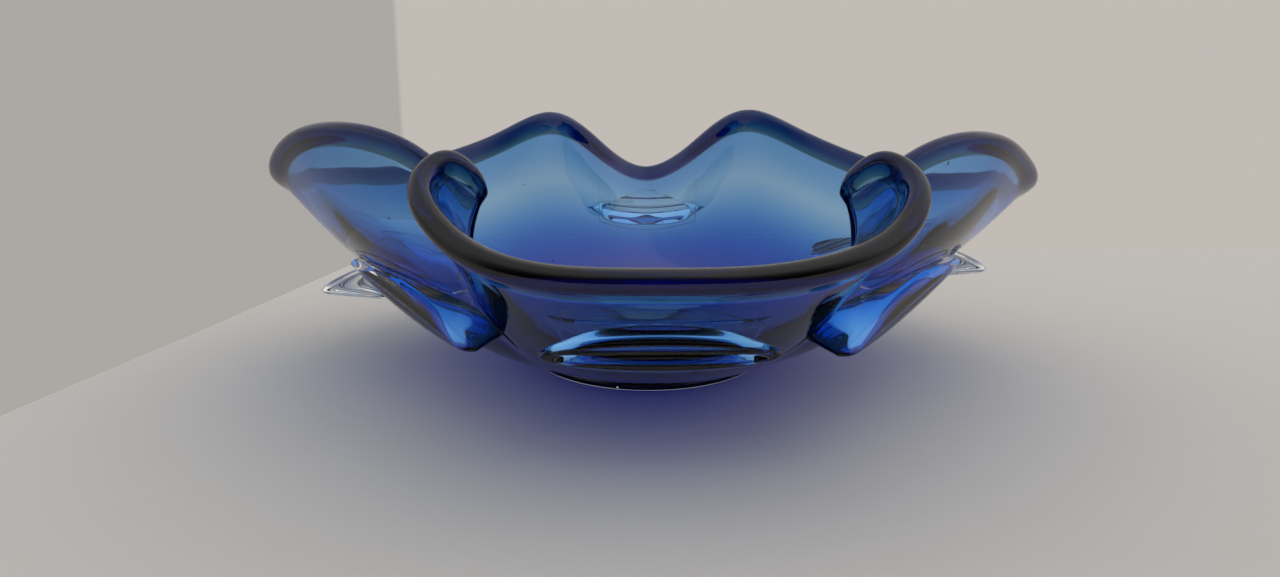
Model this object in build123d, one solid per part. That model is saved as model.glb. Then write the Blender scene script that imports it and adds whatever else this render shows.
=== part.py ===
"""Hot-worked art glass bowl: a blue inner layer cased in clear glass, drawn out into four
scoops, standing on a low foot, with six clear lugs pulled out round its lower wall.

Millimetres, +Z up, front towards -Y. The origin is on the table under the middle of the bowl.
"""

import math
import os

import numpy as np
from build123d import *

# Driving dimensions
REACH = 140.0  # from the middle to the lowest point of the front lip
FOOT_RADIUS = 0.33 * REACH
FOOT_HEIGHT = 5.0
FOOT_EDGE = 1.5  # rounding of the foot's lower edge
HALF_WALL_BASE = 4.5  # half the wall's thickness where it leaves the foot
NECK = 0.62  # half the wall's thickness under the lip, as a share of the lip's
BEAD_START = 0.92  # share of the wall's height where it starts to swell into the lip's bead
COLOUR_AT_BASE = -0.50  # the blue starts this share of the half wall inside the middle
COLOUR_AT_MIDDLE = 0.45
COLOUR_AT_NECK = 0.05
COLOUR_AT_LIP = -0.75
BLUE_THINS = (0.30, 0.75)  # shares of the wall's height between which the blue thins
BLUE_THICKENS = (0.70, 0.92)  # and thickens again towards the neck
BASE_RUN = 0.42 * REACH  # how far the wall runs out before it starts to turn up
BASE_RISE = 0.10 * REACH
FOOT_SOFTENING = 60  # how evenly the stations are spread round the foot
SHOULDER_SOFTENING = 1  # how far the curls of the rim die out below it
SECTOR_STATIONS = (0, 8, 15, 23, 31, 38)  # where the wall's faces meet
RINGS_BELOW_BEAD = 8  # rings that each wall surface is drawn through
RINGS_IN_BEAD = 2
DISH_DEPTH = 4.0  # how far the floor of the bowl sinks towards its middle
DISH_SHARES = (0.1, 0.4, 0.7)  # the floor's rings, as shares of the ring it starts from
CENTRE_X = -2.3  # puts the middle of the outline over the origin
CENTRE_Y = 2.6

# The rim, clockwise seen from above, from the front valley over the left side to the back
# valley and over the right side to the front again. Each station has the place of the lip
# x, y, z, the place of the shoulder below it that the wall makes for, and half the lip's
# thickness in millimetres. Places are shares of REACH.
RIM = [
    (0.000, -1.000, 0.459, 0.000, -0.800, 0.290, 3.8),
    (-0.180, -0.990, 0.463, -0.170, -0.790, 0.290, 3.8),
    (-0.310, -0.960, 0.488, -0.260, -0.770, 0.320, 3.8),
    (-0.400, -0.900, 0.533, -0.320, -0.720, 0.360, 3.8),
    (-0.455, -0.830, 0.591, -0.400, -0.660, 0.400, 3.6),
    (-0.453, -0.770, 0.636, -0.435, -0.635, 0.460, 3.2),
    (-0.415, -0.735, 0.656, -0.450, -0.615, 0.500, 2.7),
    (-0.375, -0.715, 0.632, -0.445, -0.600, 0.490, 2.2),
    (-0.355, -0.680, 0.590, -0.435, -0.585, 0.465, 1.9),
    (-0.378, -0.630, 0.565, -0.445, -0.565, 0.440, 1.6),
    (-0.435, -0.590, 0.585, -0.480, -0.555, 0.430, 2.2),
    (-0.521, -0.550, 0.646, -0.540, -0.550, 0.460, 2.5),
    (-0.640, -0.490, 0.686, -0.640, -0.530, 0.530, 2.8),
    (-0.802, -0.365, 0.683, -0.810, -0.420, 0.570, 3.2),
    (-0.960, -0.181, 0.621, -0.930, -0.190, 0.480, 3.4),
    (-1.039, -0.002, 0.530, -0.860, -0.020, 0.320, 3.4),
    (-0.977, 0.166, 0.493, -0.800, 0.110, 0.290, 2.8),
    (-0.849, 0.314, 0.492, -0.700, 0.230, 0.270, 3.2),
    (-0.692, 0.452, 0.526, -0.590, 0.350, 0.310, 3.2),
    (-0.515, 0.572, 0.586, -0.450, 0.470, 0.380, 3.3),
    (-0.355, 0.646, 0.654, -0.350, 0.600, 0.420, 3.3),
    (-0.240, 0.770, 0.601, -0.240, 0.640, 0.380, 3.3),
    (-0.130, 0.906, 0.490, -0.130, 0.720, 0.310, 3.3),
    (0.000, 0.966, 0.430, 0.000, 0.780, 0.250, 3.3),
    (0.140, 0.906, 0.494, 0.140, 0.720, 0.310, 3.3),
    (0.260, 0.770, 0.611, 0.260, 0.640, 0.390, 3.3),
    (0.374, 0.646, 0.662, 0.370, 0.600, 0.430, 3.3),
    (0.525, 0.572, 0.601, 0.460, 0.470, 0.390, 3.3),
    (0.692, 0.462, 0.531, 0.590, 0.360, 0.320, 3.2),
    (0.859, 0.334, 0.482, 0.710, 0.250, 0.260, 3.2),
    (0.997, 0.166, 0.473, 0.820, 0.110, 0.270, 3.2),
    (1.072, -0.002, 0.510, 0.890, -0.020, 0.300, 3.4),
    (0.992, -0.173, 0.587, 0.950, -0.190, 0.470, 3.4),
    (0.850, -0.356, 0.655, 0.850, -0.410, 0.550, 3.2),
    (0.700, -0.480, 0.668, 0.700, -0.520, 0.520, 2.8),
    (0.581, -0.550, 0.631, 0.600, -0.550, 0.460, 2.5),
    (0.495, -0.590, 0.580, 0.540, -0.555, 0.430, 2.2),
    (0.435, -0.630, 0.565, 0.505, -0.565, 0.440, 1.6),
    (0.410, -0.680, 0.590, 0.495, -0.585, 0.465, 1.9),
    (0.430, -0.715, 0.630, 0.505, -0.600, 0.490, 2.2),
    (0.475, -0.735, 0.654, 0.510, -0.615, 0.500, 2.7),
    (0.520, -0.770, 0.631, 0.495, -0.635, 0.460, 3.2),
    (0.525, -0.830, 0.588, 0.460, -0.660, 0.400, 3.6),
    (0.470, -0.900, 0.528, 0.390, -0.720, 0.360, 3.8),
    (0.360, -0.960, 0.485, 0.310, -0.770, 0.310, 3.8),
    (0.200, -0.990, 0.462, 0.190, -0.790, 0.290, 3.8),
]

# The lugs: direction from the middle in degrees, height of the middle, distance of the flat
# end face from the middle, length, tilt in degrees, and how deeply the edge of the face is
# rounded in millimetres. Other lengths are shares of REACH.
LUGS = {
    "lug_front": (-89, 0.295, 0.93, 0.48, 0, 2.5),
    "lug_front_left": (-142, 0.285, 0.77, 0.66, -8, 5.0),
    "lug_back_left": (160, 0.170, 0.98, 0.50, 0, 4.0),
    "lug_back": (90, 0.300, 0.88, 0.46, 0, 2.5),
    "lug_back_right": (20, 0.235, 1.02, 0.50, 0, 4.0),
    "lug_front_right": (-37, 0.285, 0.80, 0.70, 8, 5.0),
}
LUG_FACE_HEIGHT = 10.5
LUG_ROOT_HEIGHT = 15.0
LUG_ROOT_EXTRA = -16.0  # a lug flares out, so it is this much shorter at its root
LUG_DEPTH = 42.0
LUG_EDGE_STEPS = 4  # outlines that round the edge of a lug's face
LUG_SCRAP = 0.1  # smaller shares of a lug than this are scraps of the cut


LIP = np.array([row[0:3] for row in RIM]) * REACH
SHOULDER = np.array([row[3:6] for row in RIM]) * REACH
HALF_LIP = np.array([[row[6]] for row in RIM])  # the lip is a half-round bead


def rim_shares(lip):
    """Where each station falls round the rim, evened out so that the tight curls get room."""
    gaps = np.sqrt(np.linalg.norm(np.roll(lip, -1, axis=0) - lip, axis=1))
    return np.concatenate([[0], np.cumsum(gaps) / gaps.sum()])


def softened(points, passes):
    """A ring of points, or of angles, each drawn towards its neighbours."""
    for _ in range(passes):
        points = (np.roll(points, 1, axis=0) + 2 * points + np.roll(points, -1, axis=0)) / 4
    return points


def foot_angles(place, share):
    """The direction of each station's start at the foot, which turns steadily round."""
    even = -math.pi / 2 - 2 * math.pi * share
    true = np.unwrap(np.arctan2(place[:, 1], place[:, 0]))
    return even + softened(true - true[0] + even[0] - even, FOOT_SOFTENING)


def wall_controls():
    """The four Bezier controls of the middle of the wall at every station."""
    angle = foot_angles(LIP, rim_shares(LIP)[:-1])
    out = np.stack([np.cos(angle), np.sin(angle), 0 * angle], axis=1)
    up = np.array([0.0, 0.0, 1.0])
    slope = math.atan2(BASE_RISE, BASE_RUN)
    start = out * FOOT_RADIUS + up * (FOOT_HEIGHT + HALF_WALL_BASE * math.cos(slope))
    low = start + out * BASE_RUN + up * BASE_RISE
    return start, low, softened(SHOULDER, SHOULDER_SOFTENING), LIP


CONTROLS = wall_controls()
SHARES = list(rim_shares(LIP))
SECTORS = [SHARES[station] for station in SECTOR_STATIONS] + [1.0]


def wall_middle(t):
    """Points of the middle of the wall, from the foot at 0 to the lip at 1."""
    a, b, c, d = CONTROLS
    s = 1 - t
    return s**3 * a + 3 * t * s**2 * b + 3 * t**2 * s * c + t**3 * d


def wall_lean(t):
    """Unit direction of the wall towards the lip."""
    a, b, c, d = CONTROLS
    s = 1 - t
    lean = s**2 * (b - a) + 2 * t * s * (c - b) + t**2 * (d - c)
    return lean / np.linalg.norm(lean, axis=1, keepdims=True)


def wall_normal(t):
    """Unit direction across the wall, towards the inside of the bowl."""
    middle = wall_middle(t)
    along = np.roll(middle, -1, axis=0) - np.roll(middle, 1, axis=0)
    across = np.cross(along, wall_lean(t))
    return across / np.linalg.norm(across, axis=1, keepdims=True)


def ring_points(t, offset, beyond=0.0):
    """A ring of points round the bowl, offset inwards from the middle of the wall."""
    points = wall_middle(t) + wall_normal(t) * offset + wall_lean(t) * beyond
    if t == 0:
        points[:, 2] = points[:, 2].mean()
    return points


def ring(points):
    """A closed spline through a ring of points, cut into sectors so that faces stay small."""
    centred = points + np.array([CENTRE_X, CENTRE_Y, 0.0])
    spline = Edge.make_spline([Vector(*p) for p in centred], periodic=True, parameters=SHARES)
    return Wire([spline.trim(a, b) for a, b in zip(SECTORS, SECTORS[1:])])


def eased(t, start, end):
    """0 up to the start, 1 from the end on, and smooth between them."""
    rise = min(max((t - start) / (end - start), 0.0), 1.0)
    return rise**2 * (3 - 2 * rise)


def half_wall(t):
    """Half the wall's thickness: it thins from the foot to a neck, then swells into the lip."""
    swell = NECK + (1 - NECK) * eased(t, BEAD_START, 1.0)
    return HALF_LIP * swell + (HALF_WALL_BASE - HALF_LIP * NECK) * (1 - t) ** 2


def outside(t):
    return -half_wall(t)


def inside(t):
    return half_wall(t)


def colour_line(t):
    """Offset of the surface where the clear casing meets the blue."""
    share = COLOUR_AT_BASE + (COLOUR_AT_MIDDLE - COLOUR_AT_BASE) * eased(t, *BLUE_THINS)
    share += (COLOUR_AT_NECK - COLOUR_AT_MIDDLE) * eased(t, *BLUE_THICKENS)
    share += (COLOUR_AT_LIP - COLOUR_AT_NECK) * eased(t, BEAD_START, 1.0)
    return half_wall(t) * share


def wall_rings(offset):
    below_bead = np.linspace(0, BEAD_START, RINGS_BELOW_BEAD)
    in_bead = np.linspace(BEAD_START, 1, RINGS_IN_BEAD + 1)[1:]
    return [ring(ring_points(t, offset(t))) for t in (*below_bead, *in_bead)]


def dish_rings(offset):
    """Rings over the dished floor of the bowl, from the middle out."""
    edge = ring_points(0, offset(0))
    rings = []
    for share in DISH_SHARES:
        drop = np.array([0.0, 0.0, DISH_DEPTH * (1 - share**2)])
        rings.append(ring(edge * [share, share, 1.0] - drop))
    return rings


def lip_rings(start, end, count):
    """Rings over the bead of the lip. Angle 0 is outside, 180 is inside."""
    angles = np.radians(np.linspace(start, end, count))
    points = [ring_points(1, -HALF_LIP * math.cos(a), HALF_LIP * math.sin(a)) for a in angles]
    return [ring(p) for p in points]


def closed_solid(surfaces, caps):
    """A solid from ring surfaces and the flat discs that close them at the base."""
    faces = []
    for rings in surfaces:
        faces += Shell.make_loft(rings).faces()
    faces += [Face(wire) for wire in caps]
    return Solid(Shell(faces))


def foot():
    disc = Cylinder(FOOT_RADIUS, FOOT_HEIGHT, align=(Align.CENTER, Align.CENTER, Align.MIN))
    lower_edge = disc.edges().sort_by(Axis.Z)[0]
    return Pos(CENTRE_X, CENTRE_Y, 0) * fillet(lower_edge, FOOT_EDGE)


def lug(direction, height, face_distance, length, tilt, rounding):
    """A tongue that flares out from its root inside the wall to a long oval face with a rounded edge."""
    angle = math.radians(direction)
    out = Vector(math.cos(angle), math.sin(angle), 0)
    centre = Vector(CENTRE_X, CENTRE_Y, height * REACH) + out * face_distance * REACH
    face = Plane(centre, x_dir=Vector(0, 0, 1).cross(out), z_dir=out)
    half_length = length * REACH / 2
    half_height = LUG_FACE_HEIGHT / 2
    root = Ellipse(half_length + LUG_ROOT_EXTRA / 2, LUG_ROOT_HEIGHT / 2)
    outlines = [face.offset(-LUG_DEPTH) * root]
    for turn in np.radians(np.linspace(0, 90, LUG_EDGE_STEPS)):
        inset = rounding * (1 - math.cos(turn))
        drop = rounding * (1 - math.sin(turn))
        outlines.append(face.offset(-drop) * Ellipse(half_length - inset, half_height - inset))
    return loft(outlines, ruled=True).rotate(Axis(centre, out), tilt)


def outermost(pieces, direction):
    """Of what the wall cuts a tongue into, the piece outside the bowl."""
    angle = math.radians(direction)
    out = Vector(math.cos(angle), math.sin(angle), 0)
    largest = max(piece.volume for piece in pieces)
    whole = [piece for piece in pieces if piece.volume > LUG_SCRAP * largest]
    return max(whole, key=lambda piece: piece.center().dot(out))


def build():
    seam = math.degrees(math.acos(-COLOUR_AT_LIP))
    meeting = dish_rings(colour_line) + wall_rings(colour_line)
    seam_ring = lip_rings(seam, seam, 1)
    over_outside = lip_rings(0, seam, 5)
    over_inside = lip_rings(seam, 180, 4)
    outer = wall_rings(outside)
    inner = dish_rings(inside) + wall_rings(inside)
    casing = closed_solid([outer, over_outside, meeting + seam_ring], [outer[0], meeting[0]])
    blue = closed_solid([meeting + seam_ring, over_inside, inner], [meeting[0], inner[0]])
    parts = {"clear_casing": casing, "blue_bowl": blue, "foot": foot()}
    for name, shape in LUGS.items():
        tongue = lug(*shape) - casing - blue
        parts[name] = outermost(tongue.solids(), shape[0])
    return parts


os.makedirs("parts", exist_ok=True)
for node, shape in build().items():
    shape.label = node
    export_step(shape, f"parts/{node}.step")
    print(node, round(shape.volume), shape.is_valid, shape.bounding_box())
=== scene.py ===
"""The looks of the cased-glass bowl: its wall, foot and lugs, the table and the light."""

import math

import bmesh
import bpy
import numpy as np
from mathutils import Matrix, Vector
from mathutils.bvhtree import BVHTree


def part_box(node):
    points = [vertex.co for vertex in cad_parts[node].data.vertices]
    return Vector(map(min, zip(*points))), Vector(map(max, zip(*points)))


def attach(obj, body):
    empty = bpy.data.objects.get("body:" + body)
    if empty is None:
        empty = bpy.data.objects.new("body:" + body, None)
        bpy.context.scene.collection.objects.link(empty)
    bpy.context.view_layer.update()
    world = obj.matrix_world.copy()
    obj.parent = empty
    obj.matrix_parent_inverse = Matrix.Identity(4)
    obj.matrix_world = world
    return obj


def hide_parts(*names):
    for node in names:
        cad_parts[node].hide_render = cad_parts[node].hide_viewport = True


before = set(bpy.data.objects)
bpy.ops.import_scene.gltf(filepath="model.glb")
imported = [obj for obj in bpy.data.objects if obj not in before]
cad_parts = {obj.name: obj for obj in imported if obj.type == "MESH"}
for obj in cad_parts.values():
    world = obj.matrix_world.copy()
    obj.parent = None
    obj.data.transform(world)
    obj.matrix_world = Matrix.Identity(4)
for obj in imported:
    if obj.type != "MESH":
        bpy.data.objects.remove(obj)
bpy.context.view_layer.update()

# Driving dimensions, in metres. The foot's box gives the scale and the middle of the bowl.
MM = 0.001
foot_low, foot_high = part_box("foot")
FOOT_RADIUS = (foot_high[0] - foot_low[0]) / 2
FOOT_HEIGHT = foot_high[2]
REACH = FOOT_RADIUS / 0.33  # from the middle to the lowest point of the front lip
CENTRE = np.array([foot_low[0] + FOOT_RADIUS, foot_low[1] + FOOT_RADIUS, 0.0])
FOOT_EDGE = 1.5 * MM
HALF_WALL_BASE = 4.5 * MM  # half the wall's thickness where it leaves the foot
NECK = 0.62  # half the wall's thickness under the lip, as a share of the lip's
BEAD_START = 0.92  # share of the wall's height where it starts to swell into the lip's bead
COLOUR_AT_BASE = -0.50  # the blue starts this share of the half wall in from the wall's middle
COLOUR_AT_MIDDLE = 0.45
COLOUR_AT_NECK = 0.05
COLOUR_AT_LIP = -0.75
BLUE_THINS = (0.30, 0.75)  # shares of the wall's height between which the blue thins
BLUE_THICKENS = (0.70, 0.92)  # and thickens again towards the neck
COLOUR_SKIN = 0.12 * MM  # clear glass between the blue and the casing's inner surface
BASE_RUN = 0.42 * REACH
BASE_RISE = 0.10 * REACH
# Known fault: the underside of the blue sinks with the floor. From COLOUR_AT_BASE down that
# takes it 1.8 mm into the foot under the middle of the bowl, past the casing's flat underside.
DISH_DEPTH = 4.0 * MM  # how far the floor of the bowl sinks towards its middle
FOOT_SOFTENING = 60  # how evenly the stations are spread round the foot
SHOULDER_SOFTENING = 1

# How finely the glass is meshed
COLUMNS = 560
WALL_ROWS = 70
DISH_ROWS = 10
LIP_ROWS = 14
LIP_MARGIN = 16  # rows of the wall on each side of the lip that share its painted shade

# The rim, clockwise seen from above, from the front valley over the left side to the back
# valley and over the right side to the front again. Each station has the place of the lip
# x, y, z, the place of the shoulder below it that the wall makes for, and half the lip's
# thickness in millimetres. Places are shares of REACH.
RIM = [
    (0.000, -1.000, 0.459, 0.000, -0.800, 0.290, 3.8),
    (-0.180, -0.990, 0.463, -0.170, -0.790, 0.290, 3.8),
    (-0.310, -0.960, 0.488, -0.260, -0.770, 0.320, 3.8),
    (-0.400, -0.900, 0.533, -0.320, -0.720, 0.360, 3.8),
    (-0.455, -0.830, 0.591, -0.400, -0.660, 0.400, 3.6),
    (-0.453, -0.770, 0.636, -0.435, -0.635, 0.460, 3.2),
    (-0.415, -0.735, 0.656, -0.450, -0.615, 0.500, 2.7),
    (-0.375, -0.715, 0.632, -0.445, -0.600, 0.490, 2.2),
    (-0.355, -0.680, 0.590, -0.435, -0.585, 0.465, 1.9),
    (-0.378, -0.630, 0.565, -0.445, -0.565, 0.440, 1.6),
    (-0.435, -0.590, 0.585, -0.480, -0.555, 0.430, 2.2),
    (-0.521, -0.550, 0.646, -0.540, -0.550, 0.460, 2.5),
    (-0.640, -0.490, 0.686, -0.640, -0.530, 0.530, 2.8),
    (-0.802, -0.365, 0.683, -0.810, -0.420, 0.570, 3.2),
    (-0.960, -0.181, 0.621, -0.930, -0.190, 0.480, 3.4),
    (-1.039, -0.002, 0.530, -0.860, -0.020, 0.320, 3.4),
    (-0.977, 0.166, 0.493, -0.800, 0.110, 0.290, 2.8),
    (-0.849, 0.314, 0.492, -0.700, 0.230, 0.270, 3.2),
    (-0.692, 0.452, 0.526, -0.590, 0.350, 0.310, 3.2),
    (-0.515, 0.572, 0.586, -0.450, 0.470, 0.380, 3.3),
    (-0.355, 0.646, 0.654, -0.350, 0.600, 0.420, 3.3),
    (-0.240, 0.770, 0.601, -0.240, 0.640, 0.380, 3.3),
    (-0.130, 0.906, 0.490, -0.130, 0.720, 0.310, 3.3),
    (0.000, 0.966, 0.430, 0.000, 0.780, 0.250, 3.3),
    (0.140, 0.906, 0.494, 0.140, 0.720, 0.310, 3.3),
    (0.260, 0.770, 0.611, 0.260, 0.640, 0.390, 3.3),
    (0.374, 0.646, 0.662, 0.370, 0.600, 0.430, 3.3),
    (0.525, 0.572, 0.601, 0.460, 0.470, 0.390, 3.3),
    (0.692, 0.462, 0.531, 0.590, 0.360, 0.320, 3.2),
    (0.859, 0.334, 0.482, 0.710, 0.250, 0.260, 3.2),
    (0.997, 0.166, 0.473, 0.820, 0.110, 0.270, 3.2),
    (1.072, -0.002, 0.510, 0.890, -0.020, 0.300, 3.4),
    (0.992, -0.173, 0.587, 0.950, -0.190, 0.470, 3.4),
    (0.850, -0.356, 0.655, 0.850, -0.410, 0.550, 3.2),
    (0.700, -0.480, 0.668, 0.700, -0.520, 0.520, 2.8),
    (0.581, -0.550, 0.631, 0.600, -0.550, 0.460, 2.5),
    (0.495, -0.590, 0.580, 0.540, -0.555, 0.430, 2.2),
    (0.435, -0.630, 0.565, 0.505, -0.565, 0.440, 1.6),
    (0.410, -0.680, 0.590, 0.495, -0.585, 0.465, 1.9),
    (0.430, -0.715, 0.630, 0.505, -0.600, 0.490, 2.2),
    (0.475, -0.735, 0.654, 0.510, -0.615, 0.500, 2.7),
    (0.520, -0.770, 0.631, 0.495, -0.635, 0.460, 3.2),
    (0.525, -0.830, 0.588, 0.460, -0.660, 0.400, 3.6),
    (0.470, -0.900, 0.528, 0.390, -0.720, 0.360, 3.8),
    (0.360, -0.960, 0.485, 0.310, -0.770, 0.310, 3.8),
    (0.200, -0.990, 0.462, 0.190, -0.790, 0.290, 3.8),
]

# The lugs: direction from the middle in degrees, height of the middle, distance of the flat
# end face from the middle, length, tilt in degrees, and how deeply the edge of the face is
# rounded in millimetres. Other lengths are shares of REACH.
LUGS = {
    "lug_front": (-89, 0.295, 0.93, 0.48, 0, 2.5),
    "lug_front_left": (-142, 0.285, 0.77, 0.66, -8, 5.0),
    "lug_back_left": (160, 0.170, 0.98, 0.50, 0, 4.0),
    "lug_back": (90, 0.300, 0.88, 0.46, 0, 2.5),
    "lug_back_right": (20, 0.235, 1.02, 0.50, 0, 4.0),
    "lug_front_right": (-37, 0.285, 0.80, 0.70, 8, 5.0),
}
LUG_FACE_HEIGHT = 10.5 * MM
LUG_ROOT_HEIGHT = 15.0 * MM
LUG_ROOT_EXTRA = -16.0 * MM  # a lug flares out, so it is this much shorter at its root
LUG_FLARE = 1.0 * MM  # the rounding where a lug leaves the wall
LUG_HOLLOW = 0.8  # how deeply a lug's end face is hollowed, as a share of its half height
FUSED_GAP = 0.1 * MM  # between the casing and a lug's base or the foot, so that faces never touch
LUG_SKIN = 0.3 * MM  # height of a lug's skin over the wall, once the collar has risen to it
LUG_CLEAR_OF_AXIS = 0.3 * REACH  # a lug's root lies on wall that is further out than this

# The collar is the thin skin over the wall between the edge of a lug's base and its root
COLLAR_SHARES = (0.04, 0.12, 0.24, 0.36, 0.48, 0.6, 0.72, 0.84, 0.94)
COLLAR_RISE = 0.4  # share of the collar over which the skin rises to its full height
TURN_SOFTENING = 60  # passes that even out how a lug's outline is spaced

# How many rings each stretch of a lug has
FLARE_RINGS = 7
TONGUE_RINGS = 8
ROUNDING_RINGS = 8
HOLLOW_RINGS = 9

# The glass
WHITE = (1.0, 1.0, 1.0)
GLASS_INDEX = 1.5
SAME_INDEX = 1.0  # glass against glass: nothing bends or reflects
WAVE_SCALE = 30.0
WAVE_HEIGHT = 0.4 * MM
SEED_SCALE = 70.0  # seeds per metre
SEED_RADIUS = 0.05  # as a share of their spacing
LIP_PAINTED_SHADE = (0.36, 0.37, 0.29)  # painted shade: a dark tint on the lip's clear glass, for the dark that its bead shows
BLUE_PASSED = (0.34, 0.69, 0.935)
BLUE_DENSITY = 1500.0  # a metre of the glass takes this many times what the colour leaves out

# The table, whose outline is in shares of REACH
TABLE_OUTLINE = [(-4.0, -12.0), (12.0, -12.0), (12.0, 1.45), (-1.22, 1.61), (-1.46, 0.31)]
TABLE_DROP = 0.2 * MM  # how far the top is under the foot, so that the two never touch
# The table's colour goes from TABLE_DARK at the front to TABLE_LIGHT at the back: painted light.
TABLE_DARK = (0.76, 0.73, 0.70)
TABLE_LIGHT = (0.82, 0.79, 0.76)
TABLE_PAINTED_LIGHT_SPAN = (-0.3, 0.5)  # where the painted light starts and stops making the table lighter, in metres
TABLE_ROUGHNESS = 0.8
GRAIN_SCALE = 60.0
GRAIN_HEIGHT = 0.1 * MM
MOTTLE = 0.15

# The room's light, by direction: each ramp is between two values of x, y or z
WALL_COLOUR = (0.54, 0.50, 0.465)
CEILING_COLOUR = (0.87, 0.85, 0.83)
CEILING_RAMP = (0.10, 0.40)
DARK_SIDE = (0.06, 0.06, 0.07)
DARK_SIDE_RAMP = (-0.9, -0.35)
LEFT_WALL_SHADE = (0.76, 0.79, 0.80)
CORNER_SLANT = 0.25  # the left wall starts where x is less than this share of -y
CORNER_RAMP = (-0.006, 0.0)

# The camera
CAMERA_SENSOR = 36.0
CAMERA_LENS = 26.15
CAMERA_PLACE = (-0.023, -2.65, 0.853)  # from the middle of the foot, as shares of REACH
CAMERA_PITCH = 13.8  # degrees below level

GLASS_BOUNCES = 48
TRANSPARENT_BOUNCES = 32

LIP = np.array([row[0:3] for row in RIM]) * REACH
SHOULDER = np.array([row[3:6] for row in RIM]) * REACH
HALF_LIP = np.array([[row[6]] for row in RIM]) * MM


# The wall's shape, the same formulas as the solids

def rim_shares(lip):
    """Where each station falls round the rim, evened out so that the tight curls get room."""
    gaps = np.sqrt(np.linalg.norm(np.roll(lip, -1, axis=0) - lip, axis=1))
    return np.concatenate([[0], np.cumsum(gaps) / gaps.sum()])


def softened(points, passes):
    """A ring of points, or of angles, each drawn towards its neighbours."""
    for _ in range(passes):
        points = (np.roll(points, 1, axis=0) + 2 * points + np.roll(points, -1, axis=0)) / 4
    return points


def foot_angles(place, share):
    """The direction of each station's start at the foot, which turns steadily round."""
    even = -math.pi / 2 - 2 * math.pi * share
    true = np.unwrap(np.arctan2(place[:, 1], place[:, 0]))
    return even + softened(true - true[0] + even[0] - even, FOOT_SOFTENING)


def wall_controls():
    """The four Bezier controls of the middle of the wall at every station."""
    angle = foot_angles(LIP, rim_shares(LIP)[:-1])
    out = np.stack([np.cos(angle), np.sin(angle), 0 * angle], axis=1)
    up = np.array([0.0, 0.0, 1.0])
    slope = math.atan2(BASE_RISE, BASE_RUN)
    start = out * FOOT_RADIUS + up * (FOOT_HEIGHT + HALF_WALL_BASE * math.cos(slope))
    low = start + out * BASE_RUN + up * BASE_RISE
    return start, low, softened(SHOULDER, SHOULDER_SOFTENING), LIP


CONTROLS = wall_controls()


def wall_middle(t):
    """Points of the middle of the wall, from the foot at 0 to the lip at 1."""
    a, b, c, d = CONTROLS
    s = 1 - t
    return s**3 * a + 3 * t * s**2 * b + 3 * t**2 * s * c + t**3 * d


def wall_lean(t):
    """Unit direction of the wall towards the lip."""
    a, b, c, d = CONTROLS
    s = 1 - t
    lean = s**2 * (b - a) + 2 * t * s * (c - b) + t**2 * (d - c)
    return lean / np.linalg.norm(lean, axis=1, keepdims=True)


def wall_normal(t):
    """Unit direction across the wall, towards the inside of the bowl."""
    middle = wall_middle(t)
    along = np.roll(middle, -1, axis=0) - np.roll(middle, 1, axis=0)
    across = np.cross(along, wall_lean(t))
    return across / np.linalg.norm(across, axis=1, keepdims=True)


def eased(t, start, end):
    """0 up to the start, 1 from the end on, and smooth between them."""
    rise = min(max((t - start) / (end - start), 0.0), 1.0)
    return rise**2 * (3 - 2 * rise)


def half_wall(t):
    """Half the wall's thickness: it thins from the foot to a neck, then swells into the lip."""
    swell = NECK + (1 - NECK) * eased(t, BEAD_START, 1.0)
    return HALF_LIP * swell + (HALF_WALL_BASE - HALF_LIP * NECK) * (1 - t) ** 2


def colour_line(t):
    """Offset of the surface where the clear casing meets the blue."""
    share = COLOUR_AT_BASE + (COLOUR_AT_MIDDLE - COLOUR_AT_BASE) * eased(t, *BLUE_THINS)
    share += (COLOUR_AT_NECK - COLOUR_AT_MIDDLE) * eased(t, *BLUE_THICKENS)
    share += (COLOUR_AT_LIP - COLOUR_AT_NECK) * eased(t, BEAD_START, 1.0)
    return half_wall(t) * share


def spline_weights(knots, at):
    """Weights that turn values at the stations into a closed cubic spline's values."""
    count = len(knots) - 1
    gap = np.diff(knots)
    before = np.roll(gap, 1)
    stiffness = np.diag(2 * (gap + before))
    pull = np.zeros((count, count))
    for i in range(count):
        after = (i + 1) % count
        stiffness[i, after] += gap[i]
        stiffness[i, i - 1] += before[i]
        pull[i, after] += 6 / gap[i]
        pull[i, i] -= 6 / gap[i] + 6 / before[i]
        pull[i, i - 1] += 6 / before[i]
    bend = np.linalg.solve(stiffness, pull)
    span = np.searchsorted(knots, at, side="right") - 1
    width = gap[span]
    right = (at - knots[span]) / width
    left = 1 - right
    value = np.eye(count)
    after = (span + 1) % count
    curve_left = ((left**3 - left) * width**2 / 6)[:, None]
    curve_right = ((right**3 - right) * width**2 / 6)[:, None]
    straight = left[:, None] * value[span] + right[:, None] * value[after]
    return straight + curve_left * bend[span] + curve_right * bend[after]


WEIGHTS = spline_weights(rim_shares(LIP), np.arange(COLUMNS) / COLUMNS)


def ring(points):
    """A smooth ring through the stations' points."""
    return WEIGHTS @ points + CENTRE


def wall_points(t, offset, beyond=0.0):
    """Station points offset inwards from the middle of the wall."""
    points = wall_middle(t) + wall_normal(t) * offset + wall_lean(t) * beyond
    if t == 0:
        points[:, 2] = points[:, 2].mean()
    return points


def wall_rings(offset):
    """Rings from the foot to the lip, closer together near the lip."""
    steps = np.sin(np.linspace(0, math.pi / 2, WALL_ROWS))
    return [ring(wall_points(t, offset(t))) for t in steps]


def dish_rings(offset):
    """Rings over the dished floor of the bowl, from the middle out."""
    edge = wall_points(0, offset(0))
    rings = []
    for share in np.linspace(0.02, 1, DISH_ROWS)[:-1]:
        drop = np.array([0.0, 0.0, DISH_DEPTH * (1 - share**2)])
        rings.append(ring(edge * [share, share, 1.0] - drop))
    return rings


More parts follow.
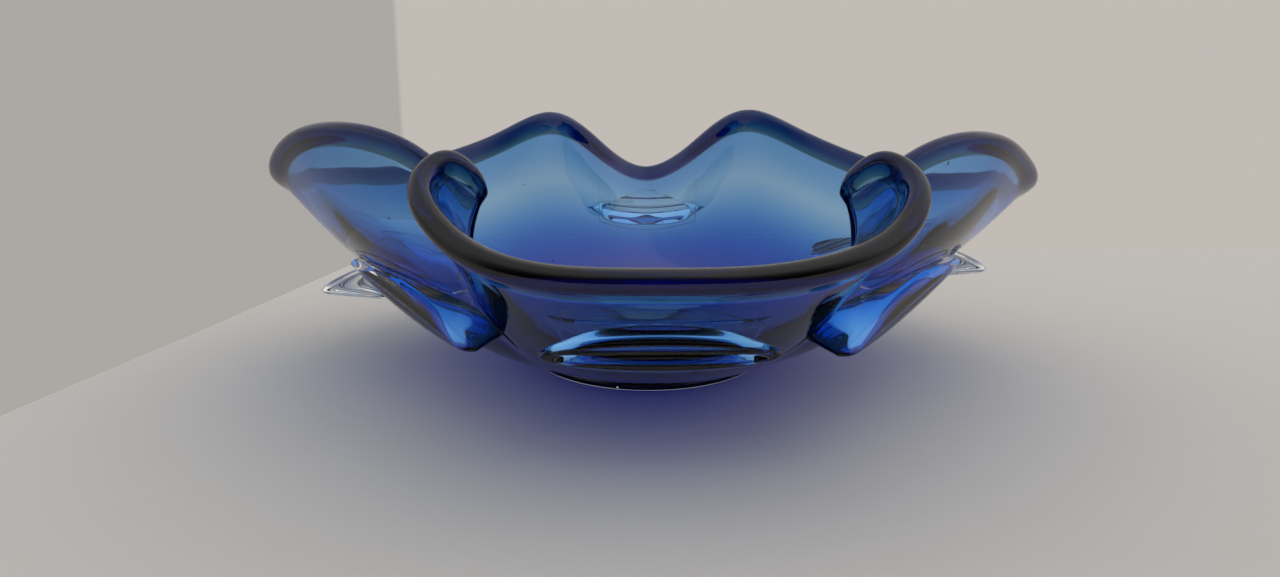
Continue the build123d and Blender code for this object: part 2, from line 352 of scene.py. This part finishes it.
def lip_rings(start, end, inset=0.0):
    """Rings over the bead of the lip. Angle 0 is outside, 180 is inside."""
    rings = []
    radius = HALF_LIP - inset
    for angle in np.radians(np.linspace(start, end, LIP_ROWS)):
        rings.append(ring(wall_points(1, -radius * math.cos(angle), radius * math.sin(angle))))
    return rings


# Mesh building

def grid_faces(rows, columns):
    """Quads of a stack of closed rings."""
    faces = []
    for i in range(rows - 1):
        for j in range(columns):
            k = (j + 1) % columns
            faces.append((i * columns + j, i * columns + k, (i + 1) * columns + k, (i + 1) * columns + j))
    return faces


def stack_of_rings(rings):
    """Vertices and faces of a closed skin over a stack of rings, capped at both ends."""
    vertices = np.concatenate(rings)
    columns = len(rings[0])
    faces = grid_faces(len(rings), columns)
    last = len(vertices) - columns
    faces.append(tuple(reversed(range(columns))))
    faces.append(tuple(range(last, last + columns)))
    return vertices, faces


def add_mesh(name, vertices, faces, *materials):
    """A smooth-shaded mesh object in the scene."""
    mesh = bpy.data.meshes.new(name)
    mesh.from_pydata([tuple(v) for v in vertices], [], faces)
    for material in materials:
        mesh.materials.append(material)
    mesh.validate()
    mesh.shade_smooth()
    piece = bpy.data.objects.new(name, mesh)
    bpy.context.scene.collection.objects.link(piece)
    return piece


# Materials

def node_material(name):
    """A new node material with its tree and its Principled shader."""
    material = bpy.data.materials.new(name)
    material.use_nodes = True
    tree = material.node_tree
    return material, tree, tree.nodes["Principled BSDF"]


def wavy_bump(tree, shader, scale, height):
    """The slight unevenness of glass that was shaped hot, by hand."""
    place = tree.nodes.new("ShaderNodeTexCoord")
    noise = tree.nodes.new("ShaderNodeTexNoise")
    noise.inputs["Scale"].default_value = scale
    noise.inputs["Detail"].default_value = 1.0
    bump = tree.nodes.new("ShaderNodeBump")
    bump.inputs["Distance"].default_value = height
    tree.links.new(place.outputs["Object"], noise.inputs["Vector"])
    tree.links.new(noise.outputs["Fac"], bump.inputs["Height"])
    tree.links.new(bump.outputs["Normal"], shader.inputs["Normal"])
    return noise


def absorb(tree, colour, density):
    """Colours what passes through the inside of a closed glass piece."""
    volume = tree.nodes.new("ShaderNodeVolumeAbsorption")
    volume.inputs["Color"].default_value = (*colour, 1.0)
    volume.inputs["Density"].default_value = density
    tree.links.new(volume.outputs["Volume"], tree.nodes["Material Output"].inputs["Volume"])


def glass(shader, refraction):
    """Makes a shader polished and fully transparent."""
    shader.inputs["Transmission Weight"].default_value = 1.0
    shader.inputs["IOR"].default_value = refraction
    shader.inputs["Roughness"].default_value = 0.0
    shader.inputs["Base Color"].default_value = (1.0, 1.0, 1.0, 1.0)


def seeds(tree, waves):
    """Adds the small seeds in the glass, as pits, to the height of its waves."""
    cells = tree.nodes.new("ShaderNodeTexVoronoi")
    cells.inputs["Scale"].default_value = SEED_SCALE
    tree.links.new(waves.inputs["Vector"].links[0].from_socket, cells.inputs["Vector"])
    pit = tree.nodes.new("ShaderNodeMapRange")
    pit.interpolation_type = "SMOOTHSTEP"
    pit.inputs["From Min"].default_value = 0.0
    pit.inputs["From Max"].default_value = SEED_RADIUS
    height = tree.nodes.new("ShaderNodeMath")
    height.operation = "ADD"
    bump = waves.outputs["Fac"].links[0].to_socket
    tree.links.new(cells.outputs["Distance"], pit.inputs["Value"])
    tree.links.new(pit.outputs["Result"], height.inputs[0])
    tree.links.new(waves.outputs["Fac"], height.inputs[1])
    tree.links.new(height.outputs["Value"], bump)


def clear_glass(name, tint):
    """Fire-polished clear glass, faintly wavy and seeded."""
    material, tree, shader = node_material(name)
    glass(shader, GLASS_INDEX)
    shader.inputs["Base Color"].default_value = (*tint, 1.0)
    seeds(tree, wavy_bump(tree, shader, WAVE_SCALE, WAVE_HEIGHT))
    return material


def joined_glass():
    """Where two glass pieces are fused: light passes straight through."""
    material, tree, shader = node_material("fused_glass_seam")
    glass(shader, SAME_INDEX)
    return material


def blue_glass():
    """Cobalt blue glass fused to the clear casing, so it has no surface reflection of its own."""
    material, tree, shader = node_material("cobalt_glass")
    glass(shader, SAME_INDEX)
    absorb(tree, BLUE_PASSED, BLUE_DENSITY)
    return material


def floor_paint():
    """Matt pale grey, a little mottled, with painted light that makes it lighter towards the back."""
    material, tree, shader = node_material("pale_table")
    shader.inputs["Roughness"].default_value = TABLE_ROUGHNESS
    shader.inputs["Specular IOR Level"].default_value = 0.0
    noise = wavy_bump(tree, shader, GRAIN_SCALE, GRAIN_HEIGHT)
    place = tree.nodes.new("ShaderNodeTexCoord")
    axes = tree.nodes.new("ShaderNodeSeparateXYZ")
    # Painted light: the table's colour gets lighter towards the back.
    depth = tree.nodes.new("ShaderNodeMapRange")
    depth.inputs["From Min"].default_value = TABLE_PAINTED_LIGHT_SPAN[0]
    depth.inputs["From Max"].default_value = TABLE_PAINTED_LIGHT_SPAN[1]
    mottle = tree.nodes.new("ShaderNodeMath")
    mottle.operation = "MULTIPLY_ADD"
    mottle.inputs[1].default_value = MOTTLE
    tones = tree.nodes.new("ShaderNodeMix")
    tones.data_type = "RGBA"
    tones.inputs[6].default_value = (*TABLE_DARK, 1.0)
    tones.inputs[7].default_value = (*TABLE_LIGHT, 1.0)
    tree.links.new(place.outputs["Object"], axes.inputs["Vector"])
    tree.links.new(axes.outputs["Y"], depth.inputs["Value"])
    tree.links.new(noise.outputs["Fac"], mottle.inputs[0])
    tree.links.new(depth.outputs["Result"], mottle.inputs[2])
    tree.links.new(mottle.outputs["Value"], tones.inputs["Factor"])
    tree.links.new(tones.outputs[2], shader.inputs["Base Color"])
    return material


CLEAR = clear_glass("clear_glass_worked", WHITE)
# The clear glass of the lip and the wall next to it gets a dark tint: painted shade.
LIP_PAINTED_SHADE_GLASS = clear_glass("clear_glass_with_painted_lip_shade", LIP_PAINTED_SHADE)
SEAM = joined_glass()
BLUE = blue_glass()


# The bowl

def facing_out(piece):
    """Turns a closed skin's faces outwards."""
    shape = bmesh.new()
    shape.from_mesh(piece.data)
    inside_out = shape.calc_volume(signed=True) < 0
    shape.free()
    if inside_out:
        piece.data.flip_normals()


def glass_piece(name, vertices, faces, slot, node, *materials):
    """A closed glass piece that stands for a CAD node."""
    piece = add_mesh(name, vertices, faces, *materials)
    facing_out(piece)
    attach(piece, "root")
    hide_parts(node)
    return piece


def foot_ring(radius, height):
    """A circle about the middle of the foot with the wall's columns."""
    start = ring(wall_points(0, -HALF_WALL_BASE)) - CENTRE
    flat = np.hypot(start[:, 0], start[:, 1])[:, None]
    return start * [1, 1, 0] / flat * radius + CENTRE + [0, 0, height]


OUTER = wall_rings(lambda t: -half_wall(t))
RAISED = np.array(wall_rings(lambda t: -half_wall(t) - FUSED_GAP))


def casing():
    """The whole body of glass, outside, lip and inside, in one skin."""
    rings = [foot_ring(FOOT_RADIUS, FOOT_HEIGHT)] + OUTER + lip_rings(0, 180)[1:]
    inner = dish_rings(half_wall) + wall_rings(half_wall)
    rings += inner[::-1][1:]
    vertices, faces = stack_of_rings(rings)
    materials = (CLEAR, SEAM, LIP_PAINTED_SHADE_GLASS)
    piece = glass_piece("clear_casing_glass", vertices, faces, "clear_glass", "clear_casing", *materials)
    under_foot = len(faces) - 2
    fused = [under_foot]
    for rows, columns in REGIONS.values():
        fused += [(r + 1) * COLUMNS + c for r in rows[:-1] for c in columns[:-1]]
    for face in fused:
        piece.data.polygons[face].material_index = 1
    # The lip's rows and LIP_MARGIN rows on each side take the painted shade.
    lip_start = len(OUTER) - LIP_MARGIN
    lip_end = len(OUTER) + LIP_ROWS + LIP_MARGIN
    for face in range(lip_start * COLUMNS, lip_end * COLUMNS):
        piece.data.polygons[face].material_index = 2
    piece.data.polygons[under_foot].use_smooth = False
    return piece


def lining():
    """The blue layer, a hair's breadth inside the casing's inner surface."""
    def inside(t):
        return half_wall(t) - COLOUR_SKIN

    seam = math.degrees(math.acos(-COLOUR_AT_LIP))
    rings = dish_rings(colour_line) + wall_rings(colour_line)
    rings += lip_rings(seam, 180, COLOUR_SKIN)
    rings += (dish_rings(inside) + wall_rings(inside))[::-1][1:]
    vertices, faces = stack_of_rings(rings)
    return glass_piece("blue_lining_glass", vertices, faces, "blue_glass", "blue_bowl", BLUE)


def foot():
    """The low round foot, from its top down to the flat face that it stands on."""
    rings = [foot_ring(FOOT_RADIUS, FOOT_HEIGHT - FUSED_GAP), foot_ring(FOOT_RADIUS, FOOT_EDGE)]
    for angle in np.radians(np.linspace(15, 90, 6)):
        inset = FOOT_EDGE * (1 - math.cos(angle))
        rings.append(foot_ring(FOOT_RADIUS - inset, FOOT_EDGE * (1 - math.sin(angle))))
    vertices, faces = stack_of_rings(rings)
    piece = glass_piece("foot_glass", vertices, faces, "clear_glass", "foot", CLEAR, SEAM)
    top = len(faces) - 2
    piece.data.polygons[top].material_index = 1
    for face in (top, top + 1):
        piece.data.polygons[face].use_smooth = False
    return piece


class Lug:
    """Where a lug stands: its own axes, and its outline at the root and at the tip."""

    def __init__(self, direction, height, face_distance, length, tilt, rounding):
        angle, lean = math.radians(direction), math.radians(tilt)
        self.out = np.array([math.cos(angle), math.sin(angle), 0.0])
        level = np.array([-math.sin(angle), math.cos(angle), 0.0])
        up = np.array([0.0, 0.0, 1.0])
        self.side = level * math.cos(lean) + up * math.sin(lean)
        self.up = up * math.cos(lean) - level * math.sin(lean)
        self.origin = CENTRE + up * height * REACH
        self.face = face_distance * REACH
        self.rounding = rounding * MM
        self.tip = np.array([length * REACH, LUG_FACE_HEIGHT]) / 2
        self.root = np.array([length * REACH + LUG_ROOT_EXTRA, LUG_ROOT_HEIGHT]) / 2

    def flat(self, points):
        """Places across and up the lug's face, and how far out they are."""
        away = points - self.origin
        return away @ self.side, away @ self.up, away @ self.out

    def solid(self, across, up, out):
        parts = (across[:, None] * self.side, up[:, None] * self.up, out[:, None] * self.out)
        return self.origin + sum(parts)


def lug_region(lug):
    """The rows and columns of the outer wall that a lug's root covers."""
    grid = np.array(OUTER)
    across, up, out = lug.flat(grid)
    width, height = lug.root + LUG_FLARE
    covered = np.hypot(across / width, up / height) < 1
    covered &= out > LUG_CLEAR_OF_AXIS
    rows = np.flatnonzero(covered.any(axis=1))
    facing = int(np.argmax((grid[rows[0]] - CENTRE) @ lug.out))
    turned = np.roll(covered.any(axis=0), COLUMNS // 2 - facing)
    columns = np.flatnonzero(turned) + facing - COLUMNS // 2
    rows = np.arange(rows[0] - 1, rows[-1] + 2)
    return rows, np.arange(columns[0] - 1, columns[-1] + 2) % COLUMNS


def border(rows, columns):
    """Indices round the edge of a rows by columns grid, once round."""
    index = np.arange(rows * columns).reshape(rows, columns)
    return np.concatenate([index[0, :-1], index[:-1, -1], index[-1, :0:-1], index[:0:-1, 0]])


def lug_stages(lug):
    """The half sizes of each ring of a lug, its share of the way out and its added height."""
    stages = []
    for angle in np.radians(np.linspace(0, 90, FLARE_RINGS)):
        flare = LUG_FLARE * (1 - math.sin(angle))
        stages.append((lug.root + flare, 0.0, LUG_FLARE * (1 - math.cos(angle))))
    for share in np.linspace(0, 1, TONGUE_RINGS + 1)[1:]:
        height = LUG_FLARE * (1 - share) - lug.rounding * share
        stages.append((lug.root + (lug.tip - lug.root) * share, share, height))
    for angle in np.radians(np.linspace(0, 90, ROUNDING_RINGS + 1)[1:]):
        inset = lug.rounding * (1 - math.cos(angle))
        stages.append((lug.tip - inset, 1.0, -lug.rounding * (1 - math.sin(angle))))
    face = lug.tip - lug.rounding
    for share in np.linspace(0.9, 0.1, HOLLOW_RINGS):
        stages.append((face * share, 1.0, -LUG_HOLLOW * face[1] * (1 - share**2)))
    return stages


def keep_seam_sharp(piece):
    """Stops the shading of a lug's skin from blending into its base."""
    shape = bmesh.new()
    shape.from_mesh(piece.data)
    for edge in shape.edges:
        materials = {face.material_index for face in edge.link_faces}
        edge.smooth = len(materials) == 1
    shape.to_mesh(piece.data)
    shape.free()


def steady_turn(angles):
    """Angles that go once round, changed as little as keeps them from ever turning back."""
    turn = np.unwrap(angles)
    way = np.sign(turn[-1] - turn[0])
    turn = np.maximum.accumulate(way * turn)
    even = turn[0] + np.linspace(0, 2 * math.pi, len(turn), endpoint=False)
    return way * (even + softened(turn - even, TURN_SOFTENING))


def cast_on_wall(lug, wall, across, up):
    """Where points across and up a lug's face fall on the wall, the wall's normals there, and
    how squarely it faces the lug."""
    start = lug.solid(across, up, np.full(len(across), 2 * REACH))
    hits = [wall.ray_cast(Vector(p), Vector(-lug.out))[:2] for p in start]
    places, normals = (np.array(found) for found in zip(*hits))
    facing = normals @ lug.out
    return places, normals * np.sign(facing)[:, None], abs(facing)


def oval(half_sizes, turn):
    """Places across and up a lug's face round an oval, at the given angles."""
    return half_sizes[0] * np.cos(turn), half_sizes[1] * np.sin(turn)


def collar_rings(lug, wall, across, up, turn):
    """Rings just over the wall, from the edge of a lug's base in to its root."""
    rings = []
    root_across, root_up = oval(lug.root + LUG_FLARE, turn)
    for share in COLLAR_SHARES:
        s = across + (root_across - across) * share
        z = up + (root_up - up) * share
        places, normals, _ = cast_on_wall(lug, wall, s, z)
        rise = min(share / COLLAR_RISE, 1.0)
        rings.append(places + normals * (FUSED_GAP + (LUG_SKIN - FUSED_GAP) * rise))
    return rings


def tongue_rings(lug, wall, turn):
    """Rings from a lug's root on the wall out to its end face and over it."""
    rings = []
    for half_sizes, share, height in lug_stages(lug):
        s, z = oval(half_sizes, turn)
        places, _, facing = cast_on_wall(lug, wall, s, z)
        at_wall = (places - lug.origin) @ lug.out
        out = at_wall + (lug.face - at_wall) * share + height
        rings.append(lug.solid(s, z, np.maximum(out, at_wall + LUG_SKIN / facing)))
    return rings


def skin_faces(edge, base_size, ring_count):
    """Quads that join the edge of the base and each ring to the next, and the cap at the end."""
    faces = []
    count = len(edge)
    previous = edge
    for i in range(ring_count):
        following = base_size + i * count + np.arange(count)
        for j in range(count):
            k = (j + 1) % count
            faces.append((previous[k], previous[j], following[j], following[k]))
        previous = following
    faces.append(tuple(previous[::-1]))
    return faces


def lug_piece(name, lug, rows, columns, wall):
    """A pulled tongue: a skin from its edge on the wall out to its end face, closed at the wall."""
    base = RAISED[np.ix_(rows, columns)].reshape(-1, 3)
    edge = border(len(rows), len(columns))
    across, up, _ = lug.flat(base[edge])
    turn = steady_turn(np.arctan2(up / lug.root[1], across / lug.root[0]))
    rings = collar_rings(lug, wall, across, up, turn) + tongue_rings(lug, wall, turn)
    wide = len(columns)
    faces = [(r * wide + c, r * wide + c + 1, (r + 1) * wide + c + 1, (r + 1) * wide + c)
             for r in range(len(rows) - 1) for c in range(wide - 1)]
    fused = len(faces)
    faces += skin_faces(edge, len(base), len(rings))
    vertices = np.concatenate([base] + rings)
    piece = glass_piece(name + "_glass", vertices, faces, "clear_glass", name, CLEAR, SEAM)
    for face in range(fused):
        piece.data.polygons[face].material_index = 1
    keep_seam_sharp(piece)
    return piece


LUG_SHAPES = {name: Lug(*numbers) for name, numbers in LUGS.items()}
REGIONS = {name: lug_region(lug) for name, lug in LUG_SHAPES.items()}

casing()
lining()
foot()
outer_wall = BVHTree.FromPolygons(np.concatenate(OUTER).tolist(), grid_faces(len(OUTER), COLUMNS))
for name, lug in LUG_SHAPES.items():
    lug_piece(name, lug, *REGIONS[name], outer_wall)


# The room

def table():
    """A shelf that ends a little behind the bowl and beside it on the left."""
    flat = [(x * REACH, y * REACH, -TABLE_DROP) for x, y in TABLE_OUTLINE]
    top = add_mesh("table_top", flat, [tuple(range(len(flat)))], floor_paint())


def room_light():
    """Soft daylight: bright overhead, warm grey at the sides and back, dark behind the camera."""
    world = bpy.data.worlds.new("room")
    bpy.context.scene.world = world
    world.use_nodes = True
    tree = world.node_tree
    place = tree.nodes.new("ShaderNodeTexCoord")
    axes = tree.nodes.new("ShaderNodeSeparateXYZ")
    tree.links.new(place.outputs["Generated"], axes.inputs["Vector"])

    def ramp(output, ends, from_colour, to_colour):
        spread = tree.nodes.new("ShaderNodeMapRange")
        spread.interpolation_type = "SMOOTHSTEP"
        spread.inputs["From Min"].default_value = ends[0]
        spread.inputs["From Max"].default_value = ends[1]
        tree.links.new(output, spread.inputs["Value"])
        mix = tree.nodes.new("ShaderNodeMix")
        mix.data_type = "RGBA"
        mix.inputs[6].default_value = (*from_colour, 1.0)
        mix.inputs[7].default_value = (*to_colour, 1.0)
        tree.links.new(spread.outputs["Result"], mix.inputs["Factor"])
        return mix

    def times(first, second):
        product = tree.nodes.new("ShaderNodeMix")
        product.data_type = "RGBA"
        product.blend_type = "MULTIPLY"
        product.inputs["Factor"].default_value = 1.0
        tree.links.new(first.outputs[2], product.inputs[6])
        tree.links.new(second.outputs[2], product.inputs[7])
        return product

    past_corner = tree.nodes.new("ShaderNodeMath")
    past_corner.operation = "MULTIPLY_ADD"
    past_corner.inputs[1].default_value = CORNER_SLANT
    tree.links.new(axes.outputs["Y"], past_corner.inputs[0])
    tree.links.new(axes.outputs["X"], past_corner.inputs[2])
    sky = ramp(axes.outputs["Z"], CEILING_RAMP, WALL_COLOUR, CEILING_COLOUR)
    behind = ramp(axes.outputs["Y"], DARK_SIDE_RAMP, DARK_SIDE, WHITE)
    left = ramp(past_corner.outputs["Value"], CORNER_RAMP, LEFT_WALL_SHADE, WHITE)
    light = times(times(sky, behind), left)
    tree.links.new(light.outputs[2], tree.nodes["Background"].inputs["Color"])


def camera():
    """The camera in front of the bowl and above it, looking a little down."""
    data = bpy.data.cameras.new("camera")
    data.sensor_width = CAMERA_SENSOR
    data.lens = CAMERA_LENS
    eye = bpy.data.objects.new("camera", data)
    eye.location = CENTRE + np.array(CAMERA_PLACE) * REACH
    eye.rotation_euler = (math.radians(90 - CAMERA_PITCH), 0, 0)
    bpy.context.scene.collection.objects.link(eye)
    bpy.context.scene.camera = eye


table()
room_light()
camera()

scene = bpy.context.scene
scene.view_settings.view_transform = "Standard"
scene.cycles.max_bounces = GLASS_BOUNCES
scene.cycles.transmission_bounces = GLASS_BOUNCES
scene.cycles.transparent_max_bounces = TRANSPARENT_BOUNCES
